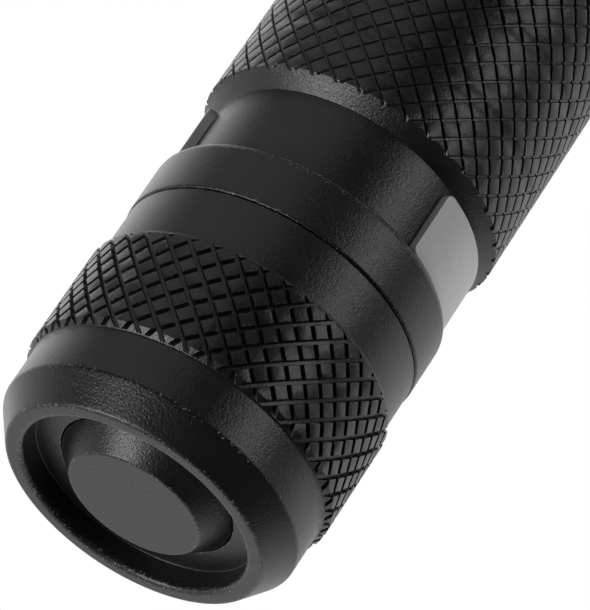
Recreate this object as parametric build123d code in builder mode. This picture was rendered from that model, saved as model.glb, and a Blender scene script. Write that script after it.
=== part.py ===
"""Tactical flashlight: a tube light for one long lithium cell, with a tail button and a pocket clip.

The light stands on its tail.  Its axis is +Z, the rim of the tail cap is at Z = 0 and the lens looks up.
The arm of the pocket clip is on the +Y side.  Lengths are in millimetres.
"""
import os
from math import asin, atan2, cos, degrees, radians, sin, sqrt

from build123d import *

os.makedirs("parts", exist_ok=True)

# ---------------------------------------------------------------- clearances
face_gap = 0.05          # between two flat faces that meet
thread_clearance = 0.08  # radial, between a thread and its socket
seal_clearance = 0.02    # radial, between an o-ring and the wall it wipes
slide_clearance = 0.08   # radial, between a sliding piece and its hole
nest_clearance = 0.02    # radial, around a piece that is pushed home and stays there
knurl_clearance = 0.35   # between the clip's arm and the knurled tube

# ---------------------------------------------------------------- cell
cell_radius = 9.25
wrap_thickness = 0.15
can_thickness = 0.25
cell_can_length = 67.3
cell_bead_from_top = 3.2      # centre of the rolled groove under the cell's shoulder
cell_bead_depth = 0.5
terminal_radius = 3.2
terminal_height = 1.7
insulator_thickness = 0.3
cell_clearance = 0.35         # radial, between the cell and the tube

# ---------------------------------------------------------------- tube and its two screwed ends
thread_wall = 1.2
land_wall = 1.6
tube_wall = 3.1
neck_depth = 1.33
neck_round = 0.5
collar_length = 4.85
neck_length = 6.8
lip_length = 0.75             # the cone from the neck up to the knurl
knurl_rise = 0.1              # how far the knurl stands above the smooth tube
front_collar_length = 3.0
edge_break = 0.15
end_thread_length = 4.3
head_thread_length = 6.9
land_length = 3.5
thread_lead_in = 0.5
oring_thickness = 0.86
oring_groove_width = 1.1
oring_from_seam = 2.0

# ---------------------------------------------------------------- tail cap and its button
recess_depth = 2.05
web_thickness = 1.5
rim_width = 1.4
rim_round = 0.3
cap_chamfer_length = 2.5
cap_chamfer_depth = 1.68
cap_drop = 0.12               # how far the cap's smooth bands are below the tube's collar
cap_knurl_rise = 0.51
cap_knurl_start = 6.4
cap_knurl_length = 9.65
cap_knurl_bevel = 0.5

button_recess = 0.15
button_top_radius = 5.55
button_stem_radius = 7.25
button_edge = 0.3
button_flange_width = 0.65
button_flange_thickness = 0.8
button_travel = 1.5

# ---------------------------------------------------------------- switch module inside the cap
flange_bore_clearance = 0.3
seal_thickness = 0.5
seal_skirt_drop = 1.2         # from the button's flange to the clamped rim of the seal
seal_rim_width = 1.05
holder_wall = 1.2
switch_width = 11.0
switch_depth = 9.0
switch_height = 4.2
switch_skin = 0.6
switch_floor = 0.4
switch_pocket_gap = 0.05
plunger_radius = 2.5
plunger_flange_radius = 3.1
plunger_flange_thickness = 0.5
plunger_flange_gap = 0.2
press_gap = 0.2               # left between the pressed seal and the switch case
return_wire = 0.28
return_spring_radius = 2.1
return_spring_turns = 3.0
board_thickness = 0.8
retainer_thickness = 1.2
retainer_inner_radius = 7.2
spanner_slot_width = 1.6
spanner_slot_depth = 0.7

contact_wire = 0.8
contact_base_radius = 4.4
contact_tip_radius = 2.2
contact_turns = 3.5
tail_contact_height = 4.9

# ---------------------------------------------------------------- pocket clip
clip_thickness = 0.75
clip_clearance = 0.05
clip_front_gap = 0.55         # from the ring up to the lip of the neck
clip_opening = 118.0          # degrees of the ring that are open, opposite the arm
clip_arm_width = 10.0
clip_relief = 0.6
clip_bend_start = 1.2         # from the ring's front edge back to where the arm bends out
clip_stand_off = 1.9          # from the knurl to the inside of the arm
clip_arm_length = 44.0
clip_touch_from_tip = 5.5
clip_flare = 2.4

# ---------------------------------------------------------------- driver, in the rear of the head
driver_spring_height = 5.4
driver_thread_step = 0.6      # from the tube's socket in to the retainer's thread
driver_retainer_width = 2.28
driver_retainer_thickness = 1.4
driver_board_thickness = 1.2
driver_ledge = 1.0
driver_cavity_height = 4.4
coil_radius = 2.6
coil_height = 2.8

# ---------------------------------------------------------------- light engine
shelf_thickness = 4.0
led_board_radius = 8.0
led_board_thickness = 1.6
emitter_width = 3.45
emitter_thickness = 0.65
dome_radius = 1.5
gasket_margin = 0.6           # from the ends of the leads to the gasket
gasket_thickness = 1.3
gasket_spigot_height = 0.5
gasket_gap = 0.08
lead_radius = 0.45
lead_inset = 1.0              # from the edge of the copper board in to the leads
lead_bend = 1.2
lead_hole_radius = 0.9
lead_notch_radius = 1.3

# ---------------------------------------------------------------- reflector, lens and bezel
focal_length = 2.3
reflector_throat_radius = 3.5
reflector_mouth_margin = 1.12  # from the lens's edge in to the mouth of the bowl
reflector_wall = 1.3
reflector_flange = 1.2
lens_radius = 15.2
lens_thickness = 2.0
front_gap = 0.2               # radial, around the lens and the reflector
front_wall = 0.95
bezel_wall = 1.4
bezel_overlap = 9.0
bezel_flange_thickness = 1.4
bezel_flange_reach = 1.5
bezel_crown_height = 2.8
bezel_crown_wall = 2.6
crown_scallops = 6
crown_scallop_depth = 1.5
crown_scallop_width = 9.0
lens_ring_thickness = 1.2

head_collar_length = 6.5
fin_rise = 1.9
fin_count = 3
fin_groove_width = 1.4
fin_pitch = 3.0
fin_groove_depth = 1.3
head_shoulder_rise = 7.0

# ---------------------------------------------------------------- radii that follow
bore_radius = cell_radius + cell_clearance
thread_radius = bore_radius + thread_wall
land_radius = bore_radius + land_wall
tube_radius = bore_radius + tube_wall
neck_radius = tube_radius - neck_depth
knurl_radius = tube_radius + knurl_rise
cap_radius = tube_radius - cap_drop
cap_knurl_radius = cap_radius + cap_knurl_rise
socket_radius = thread_radius + thread_clearance
land_socket_radius = land_radius + thread_clearance
oring_radius = land_socket_radius - seal_clearance - oring_thickness / 2
oring_groove_radius = oring_radius - oring_thickness / 2
rim_outer_radius = cap_radius - cap_chamfer_depth
rim_inner_radius = rim_outer_radius - rim_width
button_flange_radius = button_stem_radius + button_flange_width
flange_bore_radius = button_flange_radius + flange_bore_clearance
module_radius = flange_bore_radius + seal_rim_width
module_bore_radius = module_radius + nest_clearance
web_hole_radius = button_stem_radius + slide_clearance
clip_inner_radius = neck_radius + clip_clearance
driver_retainer_radius = socket_radius - driver_thread_step
driver_retainer_inner_radius = driver_retainer_radius - driver_retainer_width
driver_board_radius = driver_retainer_radius - slide_clearance
driver_cavity_radius = driver_board_radius - driver_ledge
lead_circle_radius = led_board_radius - lead_inset
gasket_radius = lead_circle_radius - lead_bend - gasket_margin
fin_radius = tube_radius + fin_rise
front_bore_radius = lens_radius + front_gap
head_front_radius = front_bore_radius + front_wall
bezel_bore_radius = head_front_radius + nest_clearance
bezel_radius = bezel_bore_radius + bezel_wall
shelf_bore_radius = led_board_radius + front_gap

# ---------------------------------------------------------------- heights that follow, from the tail up
web_top = recess_depth + web_thickness
flange_low = web_top + face_gap
flange_high = flange_low + button_flange_thickness
disc_high = flange_high + seal_thickness
rim_low = flange_high + seal_skirt_drop
rim_high = rim_low + seal_thickness
case_low = disc_high + button_travel + press_gap
case_high = case_low + switch_height
board_high = case_high + board_thickness
retainer_high = board_high + retainer_thickness
cap_shoulder = retainer_high + face_gap
tube_low = cap_shoulder + face_gap
tail_land_low = tube_low + end_thread_length
collar_low = tail_land_low + land_length + face_gap
cap_high = collar_low - face_gap
collar_high = collar_low + collar_length
neck_high = collar_high + neck_length
lip_high = neck_high + lip_length
cell_low = board_high + tail_contact_height
can_high = cell_low + cell_can_length
terminal_high = can_high + terminal_height
driver_low = terminal_high + driver_spring_height
driver_retainer_low = driver_low - driver_retainer_thickness
tube_high = driver_retainer_low - 2 * face_gap
head_land_high = tube_high - head_thread_length
front_collar_high = head_land_high - land_length
head_low = front_collar_high + face_gap
knurl_high = front_collar_high - front_collar_length
driver_high = driver_low + driver_board_thickness
shelf_low = driver_high + driver_cavity_height
shelf_high = shelf_low + shelf_thickness
star_high = shelf_high + led_board_thickness
emitter_high = star_high + emitter_thickness
reflector_low = star_high + gasket_thickness
reflector_mouth_radius = lens_radius - reflector_mouth_margin
reflector_height = (reflector_mouth_radius**2 - reflector_throat_radius**2) / (4 * focal_length)
reflector_high = reflector_low + reflector_height
lens_high = reflector_high + lens_thickness
head_high = lens_high + face_gap
bezel_low = head_high - bezel_overlap
bezel_flange_low = lens_high + lens_ring_thickness
bezel_flange_high = bezel_flange_low + bezel_flange_thickness
bezel_high = bezel_flange_high + bezel_crown_height


def side_plane(angle):
    """Plane through the axis, with its x along the given bearing and its y up."""
    across = cos(radians(angle))
    along = sin(radians(angle))
    return Plane(origin=(0, 0, 0), x_dir=(across, along, 0), z_dir=(along, -across, 0))


def finish(piece, name):
    """Label a finished piece and write it out."""
    piece.part.label = name
    export_step(piece.part, f"parts/{name}.step")
    print(f"{name}: {piece.part.volume:.1f} mm3")


def make_ring(inner, outer, low, high, name):
    """A plain washer about the axis."""
    with BuildPart() as ring:
        with BuildSketch(Plane.XY.offset(low)):
            Circle(outer)
            Circle(inner, mode=Mode.SUBTRACT)
        extrude(amount=high - low)
    finish(ring, name)


def make_oring(centre_radius, thickness, height, name):
    """A round-section ring about the axis."""
    with BuildPart() as oring:
        with BuildSketch(Plane.XZ):
            with Locations((centre_radius, height)):
                Circle(thickness / 2)
        revolve(axis=Axis.Z)
    finish(oring, name)


def make_coil(low, high, low_radius, high_radius, wire, turns, name):
    """An open coil spring, cylindrical or conical, that fills the space between two heights."""
    climb = high - low - wire
    cone = degrees(atan2(high_radius - low_radius, climb))
    with BuildPart() as coil:
        with BuildLine(Plane.XY.offset(low + wire / 2)) as path:
            Helix(pitch=climb / turns, height=climb, radius=low_radius, cone_angle=cone)
        with BuildSketch(Plane(origin=path.line @ 0, z_dir=path.line % 0)):
            Circle(wire / 2)
        sweep()
    finish(coil, name)


# ================================================================ tail cap
def make_tail_cap():
    """Screw cap: a recessed face with a hole for the button, a knurled grip and an internal thread."""
    knurl_end = cap_knurl_start + cap_knurl_length
    with BuildPart() as tail_cap:
        with BuildSketch(Plane.XZ):
            with BuildLine():
                Polyline(
                    (web_hole_radius, recess_depth),
                    (rim_inner_radius, recess_depth),
                    (rim_inner_radius, rim_round),
                    (rim_inner_radius + rim_round, 0),
                    (rim_outer_radius - rim_round, 0),
                    (rim_outer_radius, rim_round),
                    (cap_radius, cap_chamfer_length),
                    (cap_radius, cap_knurl_start),
                    (cap_knurl_radius, cap_knurl_start + cap_knurl_bevel),
                    (cap_knurl_radius, knurl_end - cap_knurl_bevel),
                    (cap_radius, knurl_end),
                    (cap_radius, cap_high - edge_break),
                    (cap_radius - edge_break, cap_high),
                    (land_socket_radius + edge_break, cap_high),
                    (land_socket_radius, cap_high - edge_break),
                    (land_socket_radius, tail_land_low),
                    (socket_radius, tail_land_low),
                    (socket_radius, cap_shoulder),
                    (module_bore_radius, cap_shoulder),
                    (module_bore_radius, rim_low),
                    (flange_bore_radius, rim_low),
                    (flange_bore_radius, web_top),
                    (web_hole_radius, web_top),
                    close=True,
                )
            make_face()
        revolve(axis=Axis.Z)
    finish(tail_cap, "tail_cap")


def make_tail_button():
    """Flared metal button: its flange is caught behind the web of the cap."""
    with BuildPart() as tail_button:
        with BuildSketch(Plane.XZ):
            with BuildLine():
                Polyline(
                    (0, button_recess),
                    (button_top_radius - button_edge / 2, button_recess),
                    (button_top_radius, button_recess + button_edge / 2),
                    (button_stem_radius, recess_depth),
                    (button_stem_radius, flange_low),
                    (button_flange_radius, flange_low),
                    (button_flange_radius, flange_high),
                    (0, flange_high),
                    close=True,
                )
            make_face()
        revolve(axis=Axis.Z)
    finish(tail_button, "tail_button")


def make_button_seal():
    """Moulded rubber hat behind the button, with its rim clamped in the cap."""
    skirt_radius = flange_bore_radius - slide_clearance
    with BuildPart() as button_seal:
        with BuildSketch(Plane.XZ):
            with BuildLine():
                Polyline(
                    (0, flange_high),
                    (skirt_radius - seal_thickness, flange_high),
                    (skirt_radius, flange_high + seal_thickness),
                    (skirt_radius, rim_low),
                    (module_radius, rim_low),
                    (module_radius, rim_high),
                    (skirt_radius - seal_thickness, rim_high),
                    (skirt_radius - seal_thickness, disc_high + seal_thickness),
                    (skirt_radius - 2 * seal_thickness, disc_high),
                    (0, disc_high),
                    close=True,
                )
            make_face()
        revolve(axis=Axis.Z)
    finish(button_seal, "button_seal")


# ================================================================ switch module
def make_switch_holder():
    """Plastic ring that centres the switch and presses the seal's rim home."""
    with BuildPart() as switch_holder:
        with BuildSketch(Plane.XY.offset(rim_high)):
            Circle(module_radius)
            Circle(module_radius - holder_wall, mode=Mode.SUBTRACT)
        extrude(amount=case_low - rim_high)
        with BuildSketch(Plane.XY.offset(case_low)):
            Circle(module_radius)
            Rectangle(
                switch_width + 2 * switch_pocket_gap,
                switch_depth + 2 * switch_pocket_gap,
                mode=Mode.SUBTRACT,
            )
        extrude(amount=switch_height)
    finish(switch_holder, "switch_holder")


def make_switch_case():
    """Moulded case of the push switch, with a hole for its plunger."""
    with BuildPart() as switch_case:
        with BuildSketch(Plane.XY.offset(case_low)):
            Rectangle(switch_width, switch_depth)
        extrude(amount=switch_height)
        with BuildSketch(Plane.XY.offset(case_low)):
            Circle(plunger_radius + slide_clearance)
        extrude(amount=switch_skin, mode=Mode.SUBTRACT)
        with BuildSketch(Plane.XY.offset(case_low + switch_skin)):
            Circle(plunger_flange_radius + plunger_flange_gap)
        extrude(amount=switch_height - switch_skin - switch_floor, mode=Mode.SUBTRACT)
    finish(switch_case, "switch_case")


def make_switch_plunger():
    """Plunger of the switch: it stands against the seal and is caught in the case by its flange."""
    flange_base = case_low + switch_skin + face_gap
    with BuildPart() as switch_plunger:
        with BuildSketch(Plane.XY.offset(disc_high)):
            Circle(plunger_radius)
        extrude(amount=flange_base - disc_high)
        with BuildSketch(Plane.XY.offset(flange_base)):
            Circle(plunger_flange_radius)
        extrude(amount=plunger_flange_thickness)
    finish(switch_plunger, "switch_plunger")


def make_switch_board():
    """Round circuit board under the switch."""
    with BuildPart() as switch_board:
        with BuildSketch(Plane.XY.offset(case_high)):
            Circle(module_radius)
        extrude(amount=board_thickness)
    finish(switch_board, "switch_board")


def make_retainer(inner, outer, low, thickness, name):
    """Threaded brass ring with two slots for a pin spanner."""
    with BuildPart() as retainer:
        with BuildSketch(Plane.XY.offset(low)):
            Circle(outer)
            Circle(inner, mode=Mode.SUBTRACT)
        extrude(amount=thickness)
        with BuildSketch(Plane.XY.offset(low + thickness - spanner_slot_depth)):
            with Locations((inner, 0), (-inner, 0)):
                Rectangle(outer - inner, spanner_slot_width)
        extrude(amount=spanner_slot_depth, mode=Mode.SUBTRACT)
    finish(retainer, name)


# ================================================================ tube and clip
def make_body_tube():
    """The tube: threads and o-ring lands at both ends, a neck for the clip and a long knurled grip."""
    tail_groove = collar_low - oring_from_seam
    head_groove = front_collar_high + oring_from_seam
    half_groove = oring_groove_width / 2
    with BuildPart() as body_tube:
        with BuildSketch(Plane.XZ):
            with BuildLine():
                Polyline(
                    (bore_radius, tube_low),
                    (thread_radius - thread_lead_in, tube_low),
                    (thread_radius, tube_low + thread_lead_in),
                    (thread_radius, tail_land_low + face_gap),
                    (land_radius, tail_land_low + face_gap),
                    (land_radius, tail_groove - half_groove),
                    (oring_groove_radius, tail_groove - half_groove),
                    (oring_groove_radius, tail_groove + half_groove),
                    (land_radius, tail_groove + half_groove),
                    (land_radius, collar_low),
                    (tube_radius - edge_break, collar_low),
                    (tube_radius, collar_low + edge_break),
                    (tube_radius, collar_high - neck_round),
                    (tube_radius - neck_round, collar_high),
                    (neck_radius, collar_high),
                    (neck_radius, neck_high),
                    (knurl_radius, lip_high),
                    (knurl_radius, knurl_high),
                    (tube_radius, knurl_high + knurl_rise),
                    (tube_radius, front_collar_high - edge_break),
                    (tube_radius - edge_break, front_collar_high),
                    (land_radius, front_collar_high),
                    (land_radius, head_groove - half_groove),
                    (oring_groove_radius, head_groove - half_groove),
                    (oring_groove_radius, head_groove + half_groove),
                    (land_radius, head_groove + half_groove),
                    (land_radius, head_land_high - face_gap),
                    (thread_radius, head_land_high - face_gap),
                    (thread_radius, tube_high - thread_lead_in),
                    (thread_radius - thread_lead_in, tube_high),
                    (bore_radius, tube_high),
                    close=True,
                )
            make_face()
        revolve(axis=Axis.Z)
    finish(body_tube, "body_tube")


def make_pocket_clip():
    """Spring-steel clip: an open ring snapped into the neck, and an arm bent out over the knurl."""
    ring_low = collar_high + face_gap
    ring_high = neck_high - clip_front_gap
    bend_low = ring_high - clip_bend_start
    arm_radius = knurl_radius + clip_stand_off
    touch_radius = knurl_radius + knurl_clearance
    climb = arm_radius - clip_inner_radius
    arm_low = bend_low + climb
    tip = ring_high + clip_arm_length
    touch = tip - clip_touch_from_tip
    half_angle = 1.5 * degrees(asin(clip_arm_width / 2 / clip_inner_radius))
    with BuildPart() as arm:
        with BuildSketch(side_plane(90 - half_angle)):
            with BuildLine() as centre:
                FilletPolyline(
                    (clip_inner_radius + clip_thickness / 2, ring_low + clip_thickness),
                    (clip_inner_radius + clip_thickness / 2, bend_low),
                    (arm_radius + clip_thickness / 2, arm_low),
                    (touch_radius + clip_thickness, touch),
                    (touch_radius + clip_flare, tip),
                    radius=2 * clip_thickness,
                )
            trace(line_width=clip_thickness)
        revolve(axis=Axis.Z, revolution_arc=2 * half_angle)
        with BuildSketch(Plane.XZ):
            with Locations((0, (ring_low + tip) / 2)):
                RectangleRounded(clip_arm_width, tip - ring_low, clip_arm_width / 3)
        extrude(amount=-2 * arm_radius, mode=Mode.INTERSECT)
    with BuildPart() as pocket_clip:
        with BuildSketch(side_plane(270 + clip_opening / 2)):
            with Locations((clip_inner_radius + clip_thickness / 2, (ring_low + ring_high) / 2)):
                Rectangle(clip_thickness, ring_high - ring_low)
        revolve(axis=Axis.Z, revolution_arc=360 - clip_opening)
        with BuildSketch(Plane.XZ):
            with Locations((0, ring_high)):
                Rectangle(clip_arm_width + 2 * clip_relief, 2 * clip_bend_start)
        extrude(amount=-2 * tube_radius, mode=Mode.SUBTRACT)
        add(arm.part)
    finish(pocket_clip, "pocket_clip")


# ================================================================ cell
def make_cell():
    """Long lithium cell: wound core, can, shrink wrap, insulating ring and raised terminal."""
    can_radius = cell_radius - wrap_thickness
    bead = can_high - cell_bead_from_top
    wrap_low = cell_low - wrap_thickness
    core_radius = can_radius - can_thickness
    core_high = bead - 2 * cell_bead_depth
    with BuildPart() as cell_core:
        with BuildSketch(Plane.XY.offset(cell_low + can_thickness)):
            Circle(core_radius)
        extrude(amount=core_high - cell_low - can_thickness)
    finish(cell_core, "cell_core")
    with BuildPart() as cell_can:
        with BuildSketch(Plane.XZ):
            with BuildLine():
                Polyline(
                    (0, cell_low),
                    (can_radius, cell_low),
                    (can_radius, bead - cell_bead_depth),
                    (can_radius - cell_bead_depth, bead),
                    (can_radius, bead + cell_bead_depth),
                    (can_radius, can_high),
                    (0, can_high),
                    (0, can_high - can_thickness),
                    (core_radius, can_high - can_thickness),
                    (core_radius, bead + cell_bead_depth),
                    (core_radius - cell_bead_depth, bead),
                    (core_radius, bead - cell_bead_depth),
                    (core_radius, cell_low + can_thickness),
                    (0, cell_low + can_thickness),
                    close=True,
                )
            make_face()
        revolve(axis=Axis.Z)
    finish(cell_can, "cell_can")
    lip_radius = cell_radius - 2.0
    insulator_high = can_high + insulator_thickness
    with BuildPart() as cell_wrap:
        with BuildSketch(Plane.XZ):
            with BuildLine():
                Polyline(
                    (lip_radius, wrap_low),
                    (cell_radius, wrap_low),
                    (cell_radius, bead - cell_bead_depth),
                    (cell_radius - cell_bead_depth, bead),
                    (cell_radius, bead + cell_bead_depth),
                    (cell_radius, insulator_high + wrap_thickness),
                    (lip_radius, insulator_high + wrap_thickness),
                    (lip_radius, insulator_high),
                    (can_radius, insulator_high),
                    (can_radius, bead + cell_bead_depth),
                    (can_radius - cell_bead_depth, bead),
                    (can_radius, bead - cell_bead_depth),
                    (can_radius, cell_low),
                    (lip_radius, cell_low),
                    close=True,
                )
            make_face()
        revolve(axis=Axis.Z)
    finish(cell_wrap, "cell_wrap")
    make_ring(terminal_radius + wrap_thickness, can_radius, can_high, insulator_high, "cell_insulator")
    with BuildPart() as cell_terminal:
        with BuildSketch(Plane.XY.offset(can_high)):
            Circle(terminal_radius)
        extrude(amount=terminal_height)
        fillet(cell_terminal.edges().group_by(Axis.Z)[-1], terminal_height / 4)
    finish(cell_terminal, "cell_terminal")


# ================================================================ head
def make_head_housing():
    """Head: socket for the tube, driver cavity, solid shelf for the light engine and a wide front bore."""
    fins_low = head_low + head_collar_length
    fins_high = fins_low + fin_pitch * fin_count + fin_groove_width
    shoulder_high = fins_high + head_shoulder_rise
    step = bezel_radius - nest_clearance
    with BuildPart() as head_housing:
        with BuildSketch(Plane.XZ):
            with BuildLine():
                Polyline(
                    (land_socket_radius, head_low),
                    (tube_radius - edge_break, head_low),
                    (tube_radius, head_low + edge_break),
                    (tube_radius, fins_low - (fin_radius - tube_radius)),
                    (fin_radius, fins_low),
                    (fin_radius, fins_high),
                    (step, shoulder_high),
                    (step, bezel_low - face_gap),
                    (head_front_radius, bezel_low - face_gap),
                    (head_front_radius, head_high),
                    (front_bore_radius, head_high),
                    (front_bore_radius, bezel_low),
                    (shelf_bore_radius, reflector_low),
                    (shelf_bore_radius, shelf_high),
                    (0, shelf_high),
                    (0, shelf_low),
                    (driver_cavity_radius, shelf_low),
                    (driver_cavity_radius, driver_high),
                    (driver_retainer_radius + nest_clearance, driver_high),
                    (driver_retainer_radius + nest_clearance, tube_high + face_gap),
                    (socket_radius, tube_high + face_gap),
                    (socket_radius, head_land_high),
                    (land_socket_radius, head_land_high),
                    close=True,
                )
            make_face()
        revolve(axis=Axis.Z)
        for fin in range(fin_count):
            with BuildSketch(Plane.XY.offset(fins_low + fin_pitch * (fin + 0.5))):
                Circle(fin_radius + fin_groove_depth)
                Circle(fin_radius - fin_groove_depth, mode=Mode.SUBTRACT)
            extrude(amount=fin_groove_width, mode=Mode.SUBTRACT)
        with BuildSketch(Plane.XY.offset(shelf_low)):
            with PolarLocations(lead_circle_radius, 2):
                Circle(lead_hole_radius)
        extrude(amount=shelf_thickness, mode=Mode.SUBTRACT)
    finish(head_housing, "head_housing")


def make_driver_parts():
    """Driver board held by its threaded ring, with its components on the side away from the cell."""
    with BuildPart() as driver_board:
        with BuildSketch(Plane.XY.offset(driver_low)):
            Circle(driver_board_radius)
        extrude(amount=driver_board_thickness)
    finish(driver_board, "driver_board")
    with BuildPart() as driver_components:
        with BuildSketch(Plane.XY.offset(driver_high)):
            Circle(coil_radius)
        extrude(amount=coil_height)
        with BuildSketch(Plane.XY.offset(driver_high)):
            with Locations((0, 6.0)):
                Rectangle(5.0, 4.0)
            with Locations((0, -5.6)):
                Rectangle(6.0, 4.4)
        extrude(amount=1.2)
        with BuildSketch(Plane.XY.offset(driver_high)):
            with Locations((4.4, 3.2), (-4.4, 3.2), (4.4, -3.0), (-4.4, -3.0)):
                Rectangle(1.2, 2.0)
        extrude(amount=0.9)
    finish(driver_components, "driver_components")


def make_light_engine():
    """Copper board, emitter, its clear dome, and the plastic gasket that centres the reflector."""
    with BuildPart() as led_board:
        with BuildSketch(Plane.XY.offset(shelf_high)):
            Circle(led_board_radius)
            with PolarLocations(lead_circle_radius, 2):
                Circle(lead_notch_radius, mode=Mode.SUBTRACT)
        extrude(amount=led_board_thickness)
    finish(led_board, "led_board")
    with BuildPart() as led_emitter:
        with BuildSketch(Plane.XY.offset(star_high)):
            Rectangle(emitter_width, emitter_width)
        extrude(amount=emitter_thickness)
    finish(led_emitter, "led_emitter")
    with BuildPart() as led_dome:
        with BuildSketch(Plane.XZ):
            with BuildLine():
                Line((0, emitter_high), (dome_radius, emitter_high))
                RadiusArc((dome_radius, emitter_high), (0, emitter_high + dome_radius), -dome_radius)
                Line((0, emitter_high + dome_radius), (0, emitter_high))
            make_face()
        revolve(axis=Axis.Z)
    finish(led_dome, "led_dome")
    with BuildPart() as led_gasket:
        with BuildSketch(Plane.XY.offset(star_high)):
            Circle(gasket_radius)
            Rectangle(emitter_width + 2 * gasket_gap, emitter_width + 2 * gasket_gap, mode=Mode.SUBTRACT)
        extrude(amount=gasket_thickness)
        with BuildSketch(Plane.XY.offset(reflector_low)):
            Circle(reflector_throat_radius - gasket_gap)
            Rectangle(emitter_width + 2 * gasket_gap, emitter_width + 2 * gasket_gap, mode=Mode.SUBTRACT)
        extrude(amount=gasket_spigot_height)
    finish(led_gasket, "led_gasket")


def make_lead(bearing, name):
    """Insulated lead: up from the driver through the shelf, then bent in onto the copper board."""
    pad_height = star_high + lead_radius
    with BuildPart() as lead:
        with BuildLine(side_plane(bearing)) as route:
            rise = Line((lead_circle_radius, driver_high), (lead_circle_radius, pad_height - lead_bend))
            JernArc(start=rise @ 1, tangent=(0, 1), radius=lead_bend, arc_size=90)
        with BuildSketch(Plane(origin=route.line @ 0, z_dir=route.line % 0)):
            Circle(lead_radius)
        sweep()
    finish(lead, name)


def bowl_radius(height):
    """Radius of the reflecting bowl at a height above its throat: a paraboloid about the focus."""
    vertex = -(reflector_throat_radius**2) / (4 * focal_length)
    return sqrt(4 * focal_length * (height - vertex))


def make_reflector():
    """Machined aluminium reflector: a paraboloid bowl with an even wall and a flange under the lens."""
    stations = 12
    heights = [reflector_height * (step / stations) ** 2 for step in range(stations + 1)]
    bowl = [(bowl_radius(height), reflector_low + height) for height in heights]
    flange_low_edge = reflector_height - reflector_flange
    back = [height for height in heights if height < flange_low_edge - reflector_flange]
    shell = [(bowl_radius(height) + reflector_wall, reflector_low + height) for height in back]
    with BuildPart() as reflector:
        with BuildSketch(Plane.XZ):
            with BuildLine():
                Spline(*bowl)
                Polyline(
                    bowl[-1],
                    (lens_radius, reflector_high),
                    (lens_radius, reflector_low + flange_low_edge),
                    (bowl_radius(flange_low_edge) + reflector_wall / 2, reflector_low + flange_low_edge),
                    shell[-1],
                )
                Spline(*shell)
                Line(shell[0], bowl[0])
            make_face()
        revolve(axis=Axis.Z)
    finish(reflector, "reflector")


def make_lens():
    """Flat glass lens with small ground edges."""
    with BuildPart() as lens:
        with BuildSketch(Plane.XY.offset(reflector_high)):
            Circle(lens_radius)
        extrude(amount=lens_thickness)
        chamfer(lens.edges().filter_by(GeomType.CIRCLE), edge_break)
    finish(lens, "lens")


def make_bezel():
    """Screwed bezel: it presses the ring and lens home, and its front edge is scalloped."""
    with BuildPart() as bezel:
        with BuildSketch(Plane.XZ):
            with BuildLine():
                Polyline(
                    (bezel_bore_radius, bezel_low),
                    (bezel_radius - edge_break, bezel_low),
                    (bezel_radius, bezel_low + edge_break),
                    (bezel_radius, bezel_high - 2 * edge_break),
                    (bezel_radius - 2 * edge_break, bezel_high),
                    (bezel_radius - bezel_crown_wall, bezel_high),
                    (lens_radius - bezel_flange_reach, bezel_flange_high),
                    (lens_radius - bezel_flange_reach, bezel_flange_low),
                    (front_bore_radius, bezel_flange_low),
                    (front_bore_radius, head_high + face_gap),
                    (bezel_bore_radius, head_high + face_gap),
                    close=True,
                )
            make_face()
        revolve(axis=Axis.Z)
        with BuildSketch(Plane.XZ):
            with Locations((0, bezel_high)):
                SlotOverall(crown_scallop_width, 2 * crown_scallop_depth)
        extrude(amount=2 * bezel_radius, both=True, mode=Mode.SUBTRACT)
        for turn in range(1, crown_scallops // 2):
            with BuildSketch(side_plane(360 / crown_scallops * turn)):
                with Locations((0, bezel_high)):
                    SlotOverall(crown_scallop_width, 2 * crown_scallop_depth)
            extrude(amount=2 * bezel_radius, both=True, mode=Mode.SUBTRACT)
    finish(bezel, "bezel")


# ================================================================ the whole light, from the tail up
make_tail_cap()
make_tail_button()
make_button_seal()
make_switch_holder()
make_switch_case()
make_switch_plunger()
make_coil(
    case_low + switch_skin + face_gap + plunger_flange_thickness,
    case_high - switch_floor,
    return_spring_radius,
    return_spring_radius,
    return_wire,
    return_spring_turns,
    "switch_spring",
)
make_switch_board()
make_retainer(retainer_inner_radius, module_radius, board_high, retainer_thickness, "switch_retainer")
make_coil(
    board_high,
    cell_low,
    contact_base_radius,
    contact_tip_radius,
    contact_wire,
    contact_turns,
    "tail_spring",
)
make_oring(oring_radius, oring_thickness, collar_low - oring_from_seam, "tail_oring")
make_body_tube()
make_pocket_clip()
make_cell()
make_oring(oring_radius, oring_thickness, front_collar_high + oring_from_seam, "head_oring")
make_head_housing()
make_coil(
    terminal_high,
    driver_low,
    contact_tip_radius,
    contact_base_radius,
    contact_wire,
    contact_turns,
    "driver_spring",
)
make_retainer(
    driver_retainer_inner_radius,
    driver_retainer_radius,
    driver_retainer_low,
    driver_retainer_thickness,
    "driver_retainer",
)
make_driver_parts()
make_light_engine()
make_lead(0, "lead_positive")
make_lead(180, "lead_negative")
make_reflector()
make_lens()
make_oring(
    lens_radius - lens_ring_thickness / 2,
    lens_ring_thickness,
    lens_high + lens_ring_thickness / 2,
    "lens_oring",
)
make_bezel()
print(f"overall length {bezel_high:.1f} mm, head {2 * bezel_radius:.1f} mm, tube {2 * tube_radius:.1f} mm")
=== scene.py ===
"""Looks of a tactical flashlight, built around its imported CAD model.

Lengths inside the sections are millimetres, as on the maker's drawing; every mesh is written in metres.
"""

from math import cos, pi, radians, sin

import bmesh
import bpy
import numpy as np
from mathutils import Matrix, Vector


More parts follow.
